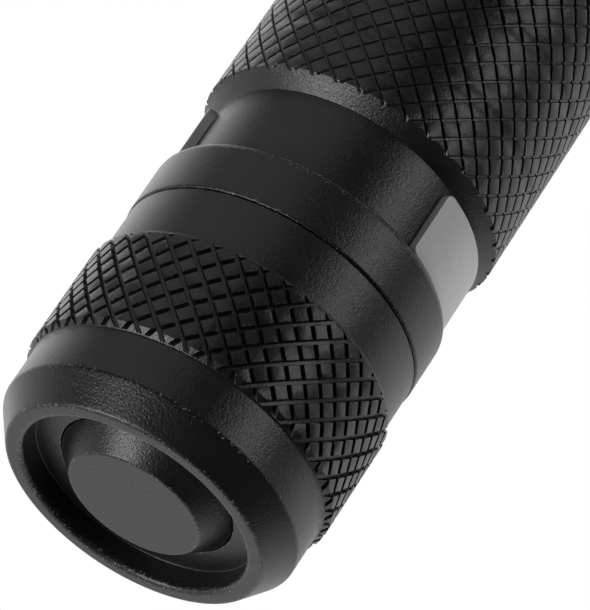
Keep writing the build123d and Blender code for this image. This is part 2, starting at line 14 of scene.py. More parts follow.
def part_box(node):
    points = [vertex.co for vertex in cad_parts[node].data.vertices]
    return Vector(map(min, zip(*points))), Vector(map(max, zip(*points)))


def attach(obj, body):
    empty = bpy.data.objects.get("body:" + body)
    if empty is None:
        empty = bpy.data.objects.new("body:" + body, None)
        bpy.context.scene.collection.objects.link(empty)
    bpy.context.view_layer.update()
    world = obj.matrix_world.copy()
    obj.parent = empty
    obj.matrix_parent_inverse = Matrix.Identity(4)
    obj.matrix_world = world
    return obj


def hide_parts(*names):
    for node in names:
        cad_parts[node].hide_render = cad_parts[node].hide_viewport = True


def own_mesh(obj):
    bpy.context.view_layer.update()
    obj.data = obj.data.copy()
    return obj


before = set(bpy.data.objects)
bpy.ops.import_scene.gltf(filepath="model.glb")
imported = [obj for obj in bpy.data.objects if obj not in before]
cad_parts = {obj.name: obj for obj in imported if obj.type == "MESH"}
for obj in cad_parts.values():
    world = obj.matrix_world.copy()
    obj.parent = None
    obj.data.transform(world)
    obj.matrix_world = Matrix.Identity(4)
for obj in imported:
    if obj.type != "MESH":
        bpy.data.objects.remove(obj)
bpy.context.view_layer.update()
MM = 0.001


# ------------------------------------------------------------------------------------------------
# Studio. The light is seen from behind and below its tail, so the floor lies well under the camera
# and the pale surround is what stands behind it.
class Shade:
    """A socket in a node tree. Sums with numbers or other sockets add Math nodes, and node() adds
    any other kind: its settings are set first, then the values or links of its inputs."""

    def __init__(self, tree, socket=None):
        self.tree = tree
        self.socket = socket

    def node(self, kind, inputs=(), output=0, stops=(), **settings):
        made = self.tree.nodes.new("ShaderNode" + kind)
        for name, value in settings.items():
            setattr(made, name, value)
        for index, (position, colour) in enumerate(stops):
            ramp = made.color_ramp.elements
            stop = ramp[index] if index < len(ramp) else ramp.new(position)
            stop.position = position
            stop.color = colour
        for name, value in dict(inputs).items():
            if isinstance(value, Shade):
                self.tree.links.new(value.socket, made.inputs[name])
            else:
                made.inputs[name].default_value = value
        return Shade(self.tree, made.outputs[output] if made.outputs else None)

    def math(self, operation, first, second=0.0):
        return self.node("Math", {0: first, 1: second}, operation=operation)

    def __add__(self, other):
        return self.math("ADD", self, other)

    def __radd__(self, other):
        return self.math("ADD", other, self)

    def __sub__(self, other):
        return self.math("SUBTRACT", self, other)

    def __rsub__(self, other):
        return self.math("SUBTRACT", other, self)

    def __mul__(self, other):
        return self.math("MULTIPLY", self, other)

    def __rmul__(self, other):
        return self.math("MULTIPLY", other, self)

    def noise(self, scale, detail=2.0, roughness=0.5):
        """Cloudy noise at this place, with a scale in features per metre."""
        look = {"Vector": self, "Scale": scale, "Detail": detail, "Roughness": roughness}
        return self.node("TexNoise", look)

    def stretched(self, *scale):
        """This place with a scale along each axis, which draws a noise out into streaks."""
        return self.node("Mapping", {"Vector": self, "Scale": scale})

    def flat(self):
        """This place dropped onto the plane across the axis."""
        return self.node("VectorMath", {0: self, 1: (1, 1, 0)}, operation="MULTIPLY")

    def length(self):
        """The length of this vector, which on a flat place is its distance from the axis."""
        return self.node("VectorMath", {0: self}, 1, operation="LENGTH")

    def tones(self, dark, light, low=0.3, high=0.7):
        """A ramp from one colour to the other as this value goes from low to high."""
        return self.node("ValToRGB", {0: self}, stops=[(low, (*dark, 1)), (high, (*light, 1))])

    def mix(self, first, second):
        """The first colour where this value is 0, and the second where it is 1."""
        pair = [colour if isinstance(colour, Shade) else (*colour, 1) for colour in (first, second)]
        return self.node("Mix", {0: self, 6: pair[0], 7: pair[1]}, 2, data_type="RGBA")

    def finish(self, colour, roughness, height, strength, distance, more=()):
        """The skin of a material: its colour and roughness, and a bump of a distance in millimetres."""
        bump = self.node("Bump", {"Height": height, "Strength": strength, "Distance": distance * MM})
        look = {"Base Color": colour, "Roughness": roughness, "Normal": bump}
        self.node("OutputMaterial", {0: self.node("BsdfPrincipled", {**look, **dict(more)})})


def grey(level):
    """A neutral colour."""
    return level, level, level


def bearing_vector(bearing, elevation):
    """Unit vector at a bearing from +X towards +Y and an elevation above the horizontal."""
    flat = cos(radians(elevation))
    return Vector((flat * cos(radians(bearing)), flat * sin(radians(bearing)), sin(radians(elevation))))


camera_data = bpy.data.cameras.new("camera")
camera_data.sensor_width = 36.0
camera_data.lens = 321.6
camera_data.clip_start = 0.01
camera_data.clip_end = 20.0
camera = bpy.data.objects.new("camera", camera_data)
bpy.context.scene.collection.objects.link(camera)
bpy.context.scene.camera = camera
aim = Vector((1.54, 0.72, 21.97)) * MM
view_bearing, view_elevation, view_distance, view_roll = 295.22, -29.88, 413.6 * MM, 33.83
towards_camera = bearing_vector(view_bearing, view_elevation)
level = towards_camera.cross(Vector((0, 0, -1))).normalized()
upright = towards_camera.cross(level)
right = level * cos(radians(view_roll)) + upright * sin(radians(view_roll))
camera.matrix_world = Matrix.Translation(aim + towards_camera * view_distance) @ Matrix(
    (right, towards_camera.cross(right), towards_camera)
).transposed().to_4x4()


def soft_light(name, bearing, elevation, width, height, power, distance=1.0):
    """Rectangular soft box at a distance in metres from the light, facing the middle of its tube."""
    data = bpy.data.lights.new(name, "AREA")
    data.shape = "RECTANGLE"
    data.size = width
    data.size_y = height
    data.energy = power
    box = bpy.data.objects.new(name, data)
    direction = bearing_vector(bearing, elevation)
    box.location = aim + direction * distance
    box.rotation_euler = direction.to_track_quat("Z", "Y").to_euler()
    box.visible_camera = False
    bpy.context.scene.collection.objects.link(box)


soft_light("key", 336, 32, 0.32, 0.5, 1.3)
soft_light("front", 246, 30, 1.1, 0.8, 1.15)
soft_light("left", 148, 30, 0.6, 0.9, 1.1)
soft_light("right", 30, 28, 0.5, 0.9, 0.55)
soft_light("top", 115, 78, 0.7, 0.7, 2.5)
soft_light("low", 226, -53, 0.32, 0.26, 2.2, 0.7)

bpy.context.scene.view_settings.view_transform = "Standard"
world = bpy.data.worlds.new("surround")
bpy.context.scene.world = world
world.use_nodes = True
world.node_tree.nodes.clear()
sky = Shade(world.node_tree)
outward = sky.node("TexCoord")
facing = sky.node("VectorMath", {0: outward, 1: bearing_vector(295, -5)}, 1, operation="DOT_PRODUCT")
surround = (facing * 0.5 + 0.5).tones(grey(0.79), grey(0.032), 0.25, 0.52)
to_camera = sky.node("LightPath")
behind = to_camera.mix(surround, grey(1))
sky.node("OutputWorld", {0: sky.node("Background", {0: behind, 1: 1.0})})

floor_mesh = bpy.data.meshes.new("floor")
floor_middle, floor_radius, floor_height = bearing_vector(150, 0) * 0.45, 0.55, -0.5
floor_sides = 96
around = np.arange(floor_sides) * 2 * pi / floor_sides
floor_mesh.from_pydata(np.column_stack([floor_middle.x + floor_radius * np.cos(around),
                                        floor_middle.y + floor_radius * np.sin(around),
                                        np.full(floor_sides, floor_height)]).tolist(),
                       [], [list(range(floor_sides))])
floor = bpy.data.objects.new("floor", floor_mesh)
bpy.context.scene.collection.objects.link(floor)


def new_material(name):
    """A material with an empty tree, the Shade that fills it, and the place on the piece."""
    material = bpy.data.materials.new(name)
    material.use_nodes = True
    material.node_tree.nodes.clear()
    tree = Shade(material.node_tree)
    return material, tree, tree.node("TexCoord", output=3)


def pale_floor():
    """Matt off-white paper with a faint unevenness, fading into the pale surround at its rim."""
    material, tree, spot = new_material("pale_floor")
    tone = spot.noise(3.0).tones(grey(0.86), grey(0.92), 0.0, 1.0)
    middle = (*floor_middle.xy, floor_height)
    from_middle = tree.node("VectorMath", {0: spot, 1: middle}, 1, operation="DISTANCE")
    fade = tree.node("MapRange", {0: from_middle, 1: 0.45 * floor_radius, 2: floor_radius},
                     interpolation_type="SMOOTHSTEP")
    skin = tree.node("BsdfPrincipled", {"Base Color": tone, "Roughness": 0.9})
    clear_air = tree.node("BsdfTransparent")
    tree.node("OutputMaterial", {0: tree.node("MixShader", {0: fade, 1: skin, 2: clear_air})})
    return material


floor.data.materials.append(pale_floor())


# ------------------------------------------------------------------------------------------------
# Body tube: one aluminium tube turned between centres, with a diamond knurl rolled on the grip,
# then bead-blasted and black anodised. Both ends carry a thread and an o-ring land.
GUARD = 0.12


def fillet_arc(before, corner, after, radius, steps=5):
    """Points on the circle of the radius that touches both sides of a corner, by turning the first
    spoke evenly into the second."""
    into = (before - corner) / np.linalg.norm(before - corner)
    out = (after - corner) / np.linalg.norm(after - corner)
    half = 0.5 * np.arccos(np.clip(into @ out, -1, 1))
    if radius <= 0 or half > 0.5 * pi - 0.01:
        return corner[None]
    middle = corner + (into + out) / np.linalg.norm(into + out) * radius / np.sin(half)
    first = corner + into * radius / np.tan(half) - middle
    last = corner + out * radius / np.tan(half) - middle
    sweep = pi - 2 * half
    share = np.linspace(0, 1, steps + 1)[:, None]
    return middle + (np.sin((1 - share) * sweep) * first + np.sin(share * sweep) * last) / np.sin(sweep)


def outline(corners, closed=True):
    """Radius, height and edge mark along a turned profile. Each corner is (radius, height, fillet);
    a fillet that stands proud gets the mark for light grey specks, partly wear and partly painted
    glints, and guard points keep the flats beside it flat."""
    places = np.array([corner[:2] for corner in corners], float)
    count = len(places)
    area = np.sum(places[:, 0] * np.roll(places[:, 1], -1) - np.roll(places[:, 0], -1) * places[:, 1])
    runs = []
    for index in range(count):
        before, place, after = places[index - 1], places[index], places[(index + 1) % count]
        inner = closed or 0 < index < count - 1
        arc = fillet_arc(before, place, after, corners[index][2]) if inner else place[None]
        step_in, step_out = place - before, after - place
        turn = step_in[0] * step_out[1] - step_in[1] * step_out[0]
        proud = float(inner and len(arc) > 1 and turn * area > 0)
        runs.append(np.column_stack([arc, np.full(len(arc), proud)]))
    path = []
    for index, run in enumerate(runs):
        path.append(run)
        if not closed and index == count - 1:
            break
        start, end = run[-1, :2], runs[(index + 1) % count][0, :2]
        length = np.linalg.norm(end - start)
        if length > 3 * GUARD:
            near = GUARD * (end - start) / length
            path.append(np.array([[*(start + near), 0.0], [*(end - near), 0.0]]))
    return np.concatenate(path)


def mesh_object(name, places, faces, wear_and_glint=None, smooth=35.0):
    """One object from places in millimetres and lists of corner numbers. Doubled points are merged,
    so poles and seams close, and the faces are turned to point outwards."""
    mesh = bpy.data.meshes.new(name)
    mesh.from_pydata((places * MM).tolist(), [], faces)
    if wear_and_glint is not None:
        mesh.attributes.new("wear_and_glint", "FLOAT", "POINT").data.foreach_set("value", wear_and_glint.astype(np.float32))
    edit = bmesh.new()
    edit.from_mesh(mesh)
    bmesh.ops.remove_doubles(edit, verts=edit.verts, dist=1e-7)
    bmesh.ops.recalc_face_normals(edit, faces=edit.faces)
    edit.to_mesh(mesh)
    edit.free()
    mesh.shade_smooth()
    mesh.set_sharp_from_angle(angle=radians(smooth))
    made = bpy.data.objects.new(name, mesh)
    bpy.context.scene.collection.objects.link(made)
    return made


def lathe(path, turns=256, shape=None):
    """Rings of points: the profile carried round the axis at even angles. shape(radius, height,
    angle) may change each point's radius and height. Gives places, ring by ring."""
    angle = np.arange(turns) * 2 * pi / turns
    radius = np.repeat(path[:, :1], turns, 1)
    height = np.repeat(path[:, 1:2], turns, 1)
    if shape is not None:
        radius, height = shape(radius, height, np.repeat(angle[None], len(path), 0))
    places = np.stack([radius * np.cos(angle), radius * np.sin(angle), height], 2)
    return places.reshape(-1, 3), angle


def ring_faces(rings, turns, closed):
    """Four-sided faces between neighbouring rings, and from the last to the first when closed."""
    ring = np.arange(rings if closed else rings - 1)[:, None]
    step = np.arange(turns)[None]
    here, there = ring * turns, (ring + 1) % rings * turns
    onward = (step + 1) % turns
    return np.stack([here + step, here + onward, there + onward, there + step], 2).reshape(-1, 4)


def turned(name, path, turns=256, closed=True, shape=None):
    """A whole turned piece from its profile."""
    places, _ = lathe(path, turns, shape)
    wear_and_glint = np.repeat(path[:, 2], turns)
    return mesh_object(name, places, ring_faces(len(path), turns, closed).tolist(), wear_and_glint)


def groove_depth(phase, floor_half, wall_half, depth):
    """Depth of a knurl groove at a phase in starts: flat floor, straight walls, nothing beyond."""
    off = np.abs(phase - np.round(phase))
    return depth * np.clip((wall_half - off) / (wall_half - floor_half), 0, 1)


def knurl_band(starts, pitch, low, high, crest, envelope, depths, cuts, widths=(0.09, 0.13, 0.165)):
    """Grid whose lines run along both families of helices, cut off square at low and high and along
    every height in cuts. A point's phases are starts * angle / turn plus and minus height / pitch; its
    radius is the smaller of the envelope at its height and the crest less the deeper groove. depths
    has a depth for each family, and widths has, as shares of a start, half of a groove's floor, half
    of its mouth, and the same with the bevel beside it. Gives places, faces and the bevel's mark for
    light grey specks that are partly wear and partly painted glints."""
    bevel_drop, wear_and_glint_depth = 0.045, 0.05
    floor_half, wall_half, bevel_half = widths
    lines = np.array([-bevel_half, -wall_half, -floor_half, floor_half, wall_half, bevel_half])
    per = len(lines)
    middle = (low + high) / 2
    spread = int(np.ceil((high - low) / pitch) + 2) * per
    first = np.arange(starts * per)[:, None]
    offset = np.arange(-spread, spread + 1)[None]
    second = first + offset
    phase_a = first // per + lines[first % per] + 0 * offset
    phase_b = second // per + lines[second % per]
    angle = pi * (phase_a + phase_b) / starts
    height = middle + pitch * (phase_a - phase_b) / 2
    places = np.stack([crest * np.cos(angle), crest * np.sin(angle), height], 2)
    width = offset.shape[1]
    row = np.arange(starts * per)[:, None]
    column = np.arange(1, width - 1)[None]
    ahead = (row + 1) % (starts * per)
    faces = np.stack([row * width + column, ahead * width + column - 1,
                      ahead * width + column, row * width + column + 1], 2).reshape(-1, 4)
    inside = places.reshape(-1, 3)[faces, 2]
    faces = faces[(inside.max(1) > low) & (inside.min(1) < high)]
    edit = bmesh.new()
    mesh = bpy.data.meshes.new("band")
    mesh.from_pydata(places.reshape(-1, 3).tolist(), [], faces.tolist())
    edit.from_mesh(mesh)
    loose = [point for point in edit.verts if not point.link_faces]
    bmesh.ops.delete(edit, geom=loose, context="VERTS")
    for cut in (low, high, *cuts):
        bmesh.ops.bisect_plane(
            edit, geom=[*edit.verts, *edit.edges, *edit.faces], dist=1e-5, plane_co=(0, 0, cut),
            plane_no=(0, 0, 1), clear_outer=bool(cut == high), clear_inner=bool(cut == low))
    edit.to_mesh(mesh)
    edit.free()
    points = np.empty(len(mesh.vertices) * 3)
    mesh.vertices.foreach_get("co", points)
    points = points.reshape(-1, 3)
    faces = [list(face.vertices) for face in mesh.polygons]
    bpy.data.meshes.remove(mesh)
    angle = np.arctan2(points[:, 1], points[:, 0])
    turns = starts * angle / (2 * pi)
    rise = (points[:, 2] - middle) / pitch
    off_a = groove_depth(turns + rise, floor_half, wall_half, 1.0)
    off_b = groove_depth(turns - rise, floor_half, wall_half, 1.0)
    sink = np.maximum(off_a * depths[0], off_b * depths[1])
    soft = np.maximum(groove_depth(turns + rise, wall_half, bevel_half, 1.0),
                      groove_depth(turns - rise, wall_half, bevel_half, 1.0))
    sink = np.where(sink > 0, sink, bevel_drop * soft)
    radius = np.minimum(crest - sink, envelope(points[:, 2]))
    points[:, 0], points[:, 1] = radius * np.cos(angle), radius * np.sin(angle)
    # Mark for light grey specks on the bevel: partly wear, partly painted glints.
    wear_and_glint = np.where(sink < wear_and_glint_depth, soft, 0.0)
    return points, faces, wear_and_glint


def zip_faces(low_ids, low_angles, high_ids, high_angles):
    """Triangles between two rings whose points stand at different angles: each side of one ring
    joins the last point of the other ring that comes before it."""
    next_low, next_high = np.roll(low_angles, -1), np.roll(high_angles, -1)
    to_high = (np.searchsorted(high_angles, next_low, "left") - 1) % len(high_angles)
    to_low = (np.searchsorted(low_angles, next_high, "right") - 1) % len(low_angles)
    up = np.column_stack([low_ids, np.roll(low_ids, -1), high_ids[to_high]])
    down = np.column_stack([np.roll(high_ids, -1), high_ids, low_ids[to_low]])
    return up.tolist() + down.tolist()


def knurled_piece(name, band, low, high, path, turns=256, shape=None):
    """A knurled band joined to the rest of its piece: the path starts just above the band, goes
    round the piece and ends just below the band."""
    band_places, faces, band_wear_and_glint = band
    count = len(band_places)
    places, angles = lathe(path, turns, shape)
    faces = faces + (ring_faces(len(path), turns, False) + count).tolist()
    for edge, ring, upward in ((high, 0, True), (low, len(path) - 1, False)):
        ids = np.flatnonzero(np.abs(band_places[:, 2] - edge) < 1e-4)
        around = np.arctan2(band_places[ids, 1], band_places[ids, 0]) % (2 * pi)
        order = np.argsort(around)
        ring_ids = count + ring * turns + np.arange(turns)
        if upward:
            faces += zip_faces(ids[order], around[order], ring_ids, angles)
        else:
            faces += zip_faces(ring_ids, angles, ids[order], around[order])
    wear_and_glint = np.concatenate([band_wear_and_glint, np.repeat(path[:, 2], turns)])
    return mesh_object(name, np.concatenate([band_places, places]), faces, wear_and_glint)


def black_anodised(name):
    """Black anodised aluminium. Blasting leaves a fine orange-peel grain that breaks highlights into
    glints, and edges that stand proud carry a few tiny light grey specks in the colour: partly bare
    metal from wear, partly painted glints."""
    material, tree, spot = new_material(name)
    tone, grain_size = 0.010, 0.2 * MM
    grain, fine = spot.noise(1 / grain_size, 2.0, 0.55), spot.noise(3 / grain_size, 1.0)
    cloud, chips = spot.noise(260.0, 4.0), spot.noise(5000.0, 1.0)
    wear_and_glint = tree.node("Attribute", output=2, attribute_name="wear_and_glint")
    # Light grey specks on proud edges: partly bare metal from wear, partly painted glints.
    wear_glint_speck = tree.node("MapRange", {0: chips * (0.45 + 0.55 * wear_and_glint), 1: 0.61, 2: 0.7})
    shade = (grain * 0.5 + cloud * 0.5).tones((tone * 0.7, tone * 0.7, tone * 0.72),
                                              (tone * 1.4, tone * 1.4, tone * 1.43))
    tree.finish(wear_glint_speck.mix(shade, grey(0.22)), 0.22 + grain * 0.16 + cloud * 0.06,
                grain * 0.75 + fine * 0.25, 1.0, 0.042, {"IOR": 1.6})
    return material


def screw_thread(low, high):
    """Shape of a right-handed thread between two heights: the crest sinks by a rounded wave of
    height less turn, fading out over a third of a millimetre at each end."""
    lead, depth, run_out = 1.0, 0.42, 0.35

    def shape(radius, height, angle):
        wave = 0.5 - 0.5 * np.cos(2 * pi * (height / lead - angle / (2 * pi)))
        fade = np.clip((height - low) / run_out, 0, 1) * np.clip((high - height) / run_out, 0, 1)
        return radius - depth * fade * wave**0.8
    return shape


def fine_rows(path, low, high, radius, rows):
    """The path with even rows put in where it runs straight from low to high at a radius."""
    near = 1e-6
    onward = np.roll(path[:, 1], -1)
    on = np.abs(path[:, 0] - radius) < near
    within = (np.minimum(path[:, 1], onward) >= low - near) & (np.maximum(path[:, 1], onward) <= high + near)
    index = np.flatnonzero(on & np.roll(on, -1) & within)
    longest = index[np.argmax(np.abs(onward - path[:, 1])[index])]
    start, end = path[longest], path[(longest + 1) % len(path)]
    share = (np.arange(1, rows) / rows)[:, None]
    return np.concatenate([path[:longest + 1], start + (end - start) * share, path[longest + 1:]])


def span(node):
    """Lowest and highest height of a drawn node and its radius, in millimetres."""
    low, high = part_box(node)
    return low.z / MM, high.z / MM, high.x / MM


def place(piece, material, body, slot, *nodes):
    """Finishes a new piece, fixes it to its body and takes the place of its drawn nodes."""
    piece.data.materials.append(material)
    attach(piece, body)
    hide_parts(*nodes)


face_gap, side_gap, knurl_rise, knurl_drop = 0.05, 0.08, 0.1, 0.02
tube_wall, thread_depth, land_depth, neck_depth = 3.1, 1.9, 1.5, 1.33
collar_length, neck_length, lip_length, front_collar, land_length = 4.85, 6.8, 1.1, 3.0, 3.5
ring_groove_radius, ring_groove_width, lead_in, band_from_neck = 10.40, 1.1, 0.5, 0.75
tube_starts, tube_pitches, tube_turns = 39, 21, 192
tube_low, tube_high, knurl_crest = span("body_tube")
tube_radius = knurl_crest - knurl_rise
bore_radius, thread_radius = tube_radius - tube_wall, tube_radius - thread_depth
land_radius, neck_radius = tube_radius - land_depth, tube_radius - neck_depth
seam, head_seam = span("tail_cap")[1] + face_gap, span("head_housing")[0] - face_gap
collar_high = seam + collar_length
neck_high = collar_high + neck_length
lip_high = neck_high + lip_length
knurl_high = head_seam - front_collar
tail_thread_high, head_thread_low = seam - land_length, head_seam + land_length
tail_groove_high, head_groove_low = seam - 1.45, head_seam + 1.40
band_low, band_high = neck_high + band_from_neck, knurl_high + knurl_rise


def tube_envelope(height):
    """Largest radius at a height on the grip: the lip's cone, then the crest, then a short run-out."""
    lip = neck_radius + (knurl_crest - neck_radius) * (height - neck_high) / (lip_high - neck_high)
    end = knurl_crest - (height - knurl_high)
    return np.minimum(np.minimum(lip, end), knurl_crest)


lip_slope = (lip_high - neck_high) / (knurl_crest - neck_radius)
deep_groove, shallow_groove = 0.24, 0.13
tube_band = knurl_band(
    tube_starts, (band_high - band_low) / tube_pitches, band_low, band_high, knurl_crest, tube_envelope,
    (deep_groove, shallow_groove),
    (lip_high - deep_groove * lip_slope, lip_high - shallow_groove * lip_slope, lip_high, knurl_high),
    widths=(0.055, 0.085, 0.13))
tube_path = outline([
    (tube_radius - knurl_drop, band_high + 0.08, 0.0),
    (tube_radius - knurl_drop, band_high + 0.2, 0.0),
    (tube_radius, head_seam - face_gap, 0.15),
    (land_radius, head_seam - face_gap, 0.1),
    (land_radius, head_groove_low, 0.08),
    (ring_groove_radius, head_groove_low, 0.08),
    (ring_groove_radius, head_groove_low + ring_groove_width, 0.08),
    (land_radius, head_groove_low + ring_groove_width, 0.08),
    (land_radius, head_thread_low - 0.1, 0.1),
    (thread_radius, head_thread_low - 0.1, 0.05),
    (thread_radius, tube_high - lead_in, 0.0),
    (thread_radius - lead_in, tube_high, 0.05),
    (bore_radius, tube_high, 0.1),
    (bore_radius, tube_low, 0.1),
    (thread_radius - lead_in, tube_low, 0.05),
    (thread_radius, tube_low + lead_in, 0.0),
    (thread_radius, tail_thread_high + face_gap, 0.05),
    (land_radius, tail_thread_high + face_gap, 0.1),
    (land_radius, tail_groove_high - ring_groove_width, 0.08),
    (ring_groove_radius, tail_groove_high - ring_groove_width, 0.08),
    (ring_groove_radius, tail_groove_high, 0.08),
    (land_radius, tail_groove_high, 0.08),
    (land_radius, seam, 0.05),
    (tube_radius, seam, 0.18),
    (tube_radius, collar_high, 0.7),
    (neck_radius, collar_high, 0.25),
    (neck_radius, neck_high, 0.1),
    (float(tube_envelope(band_low - 0.1)), band_low - 0.1, 0.0),
], closed=False)
tube_path = fine_rows(tube_path, head_thread_low - 0.2, tube_high, thread_radius, 44)
tube_path = fine_rows(tube_path, tube_low, tail_thread_high + 0.1, thread_radius, 26)


def tube_threads(radius, height, angle):
    """Both threads of the tube, cut only where the profile is at the thread's own radius."""
    tail = screw_thread(tube_low, tail_thread_high)(radius, height, angle)
    front = screw_thread(head_thread_low, tube_high)(radius, height, angle)
    cut = np.where(height < (tube_low + tube_high) / 2, tail, front)
    return np.where(np.abs(radius - thread_radius) < 0.01, cut, radius), height


tube = knurled_piece("knurled_tube", tube_band, band_low, band_high, tube_path, tube_turns, tube_threads)
anodised = black_anodised("black_anodised")
place(tube, anodised, "tube", "black_anodised", "body_tube")

# ------------------------------------------------------------------------------------------------
# Tail cap: turned from the same bar, knurled on its grip and screwed over the tube's tail thread.
# Its face is recessed so that the light can stand on the rim without pressing the button.
cap_low, cap_high, cap_crest = span("tail_cap")
cap_rise, chamfer_depth, rim_width = 0.51, 1.68, 1.4
cap_radius = cap_crest - cap_rise
rim_outer, rim_inner = cap_radius - chamfer_depth, cap_radius - chamfer_depth - rim_width
recess_depth, web_top, chamfer_high, seal_rim_low = 2.05, 3.55, 2.5, 5.6
web_hole, flange_bore, module_bore = 7.33, 8.2, 9.27
cap_socket, cap_land_socket = thread_radius + side_gap, land_radius + side_gap
cap_knurl_low, cap_knurl_high, cap_bevel = 6.4, 16.05, 0.5
cap_starts, cap_pitch, cap_shoulder = 40, 2.02, tube_low - face_gap


def cap_envelope(height):
    """Largest radius at a height on the cap's grip: a bevel, the crest, and a bevel."""
    slope = cap_rise / cap_bevel
    up = cap_radius + slope * (height - cap_knurl_low)
    down = cap_radius + slope * (cap_knurl_high - height)
    return np.minimum(np.minimum(up, down), cap_crest)


cap_groove, cap_band_low, cap_band_high = 0.42, cap_knurl_low + 0.05, cap_knurl_high - 0.05
meet = cap_bevel * (1 - cap_groove / cap_rise)
cap_band = knurl_band(
    cap_starts, cap_pitch, cap_band_low, cap_band_high, cap_crest, cap_envelope, (cap_groove, cap_groove),
    (cap_knurl_low + meet, cap_knurl_low + cap_bevel, cap_knurl_high - cap_bevel, cap_knurl_high - meet))
cap_path = outline([
    (cap_radius + 0.03, cap_knurl_high - 0.03, 0.0),
    (cap_radius, cap_knurl_high + 0.08, 0.0),
    (cap_radius, cap_high, 0.15),
    (cap_land_socket, cap_high, 0.15),
    (cap_land_socket, tail_thread_high, 0.05),
    (cap_socket, tail_thread_high, 0.05),
    (cap_socket, cap_shoulder, 0.05),
    (module_bore, cap_shoulder, 0.1),
    (module_bore, seal_rim_low, 0.05),
    (flange_bore, seal_rim_low, 0.05),
    (flange_bore, web_top, 0.05),
    (web_hole, web_top, 0.08),
    (web_hole, recess_depth, 0.12),
    (rim_inner, recess_depth, 0.1),
    (rim_inner, cap_low, 0.45),
    (rim_outer, cap_low, 0.4),
    (cap_radius, chamfer_high, 0.5),
    (cap_radius, cap_knurl_low - 0.08, 0.0),
    (cap_radius + 0.03, cap_knurl_low + 0.03, 0.0),
], closed=False)
cap = knurled_piece("knurled_cap", cap_band, cap_band_low, cap_band_high, cap_path)
place(cap, anodised, "cap", "black_anodised", "tail_cap")

# ------------------------------------------------------------------------------------------------
# Tail button: a turned aluminium button with a flared skirt, caught behind the web of the cap by
# its flange. Its flat top stands just inside the rim.
button_top, button_top_radius, stem_radius = 0.15, 5.55, 7.25
flange_radius, flange_low, flange_high = 7.9, 3.6, 4.4
button_path = outline([
    (0.0, button_top, 0.0),
    (button_top_radius, button_top, 0.3),
    (stem_radius, recess_depth, 0.25),
    (stem_radius, flange_low, 0.05),
    (flange_radius, flange_low, 0.08),
    (flange_radius, flange_high, 0.08),
    (0.0, flange_high, 0.0),
], closed=False)
button = turned("flared_button", button_path, 192, closed=False)
place(button, anodised, "button", "black_anodised", "tail_button")

# ------------------------------------------------------------------------------------------------
# Pocket clip: one blanked strip of stainless spring steel, rolled into an open ring that snaps into
# the tube's neck, with an arm bent out over the grip. It is brushed, and its cut edges are bare.
strip_thick, arm_width, relief_width, relief_depth, relief_ramp = 0.75, 10.0, 0.6, 1.2, 0.15
ring_opening, ring_width, end_round, arm_stand_off, touch_gap = 118.0, 6.2, 0.6, 1.9, 0.35
touch_from_tip, tip_flare, tip_drop, bend_radius = 5.45, 2.4, 0.12, 1.5
ring_low, clip_tip, _ = span("pocket_clip")
ring_high = ring_low + ring_width
ring_inner = neck_radius + face_gap
half_ring = pi - radians(ring_opening) / 2


def strip_section(count, corner=0.16, steps=4):
    """A strip's cross-section as a loop of points: across, from -1 to 1, the inset from the cut
    edges, the face it is on, 1 or -1, and the fall from that face. Each corner is a quarter circle."""
    quarter = np.linspace(0, pi / 2, steps + 1)
    falling, rising = corner * (1 - np.cos(quarter)), corner * (1 - np.sin(quarter))
    along, edge = np.linspace(1, -1, count), np.ones(steps + 1)
    across = np.concatenate([along, -edge, -edge, -along, edge, edge])
    inset = np.concatenate([np.full(count, corner), rising, falling] * 2)
    side = np.repeat([1.0, -1.0, 1.0], [count + len(edge), count + 2 * len(edge), len(edge)])
    fall = np.concatenate([np.zeros(count), falling, rising] * 2)
    return across, inset, side, fall


def swept_strip(place, stations, section):
    """Places and faces of a strip: place(station, across, inset, side, fall) gives each point, and
    both ends are closed by one face."""
    across, inset, side, fall = (np.repeat(part[None], len(stations), 0) for part in section)
    spots = place(np.repeat(stations[:, None], across.shape[1], 1), across, inset, side, fall)
    loop = across.shape[1]
    faces = ring_faces(len(stations), loop, False).tolist()
    faces += [list(range(loop))[::-1], list(range((len(stations) - 1) * loop, len(stations) * loop))]
    return spots.reshape(-1, 3), faces


def ring_place(bearing, across, inset, side, fall):
    """A point of the ring: across is up the ring, and the relief beside the arm lowers its front."""
    from_arm = np.abs(bearing - pi / 2) * ring_inner
    notch = np.clip((arm_width / 2 + relief_width - from_arm) / relief_ramp + 1, 0, 1)
    past = np.clip(end_round - (half_ring * ring_inner - from_arm), 0, end_round)
    round_end = end_round - np.sqrt(np.clip(end_round**2 - past**2, 0, None))
    low, high = ring_low + round_end, ring_high - notch * relief_depth - round_end
    height = (low + high) / 2 + across * ((high - low) / 2 - inset)
    radius = ring_inner + strip_thick / 2 + side * (strip_thick / 2 - fall)
    return np.stack([radius * np.cos(bearing), radius * np.sin(bearing), height], -1)


near_end = end_round * (1 - np.cos(np.linspace(0, pi / 2, 7))) / ring_inner
beside_arm = (arm_width / 2 + relief_width) / ring_inner
ramp_angle, past_end = 0.013, half_ring - 0.06
ring_stations = pi / 2 + np.unique(np.concatenate([
    -half_ring + near_end, np.linspace(-past_end, past_end, 150), half_ring - near_end,
    [-beside_arm - ramp_angle, -beside_arm, beside_arm, beside_arm + ramp_angle]]))
section = strip_section(9)
ring_places, ring_shape = swept_strip(ring_place, ring_stations, section)
arm_inside, touch_inside = knurl_crest + arm_stand_off, knurl_crest + touch_gap
bend_low = ring_high - relief_depth
half_thick = strip_thick / 2
bends = np.array([(ring_inner + half_thick, ring_low + strip_thick),
                  (ring_inner + half_thick, bend_low),
                  (arm_inside + half_thick, bend_low + arm_inside - ring_inner),
                  (touch_inside + strip_thick, clip_tip - touch_from_tip),
                  (touch_inside + tip_flare, clip_tip - tip_drop)])
rounded = [fillet_arc(*bends[index - 1:index + 2], bend_radius, 8) for index in (1, 2, 3)]
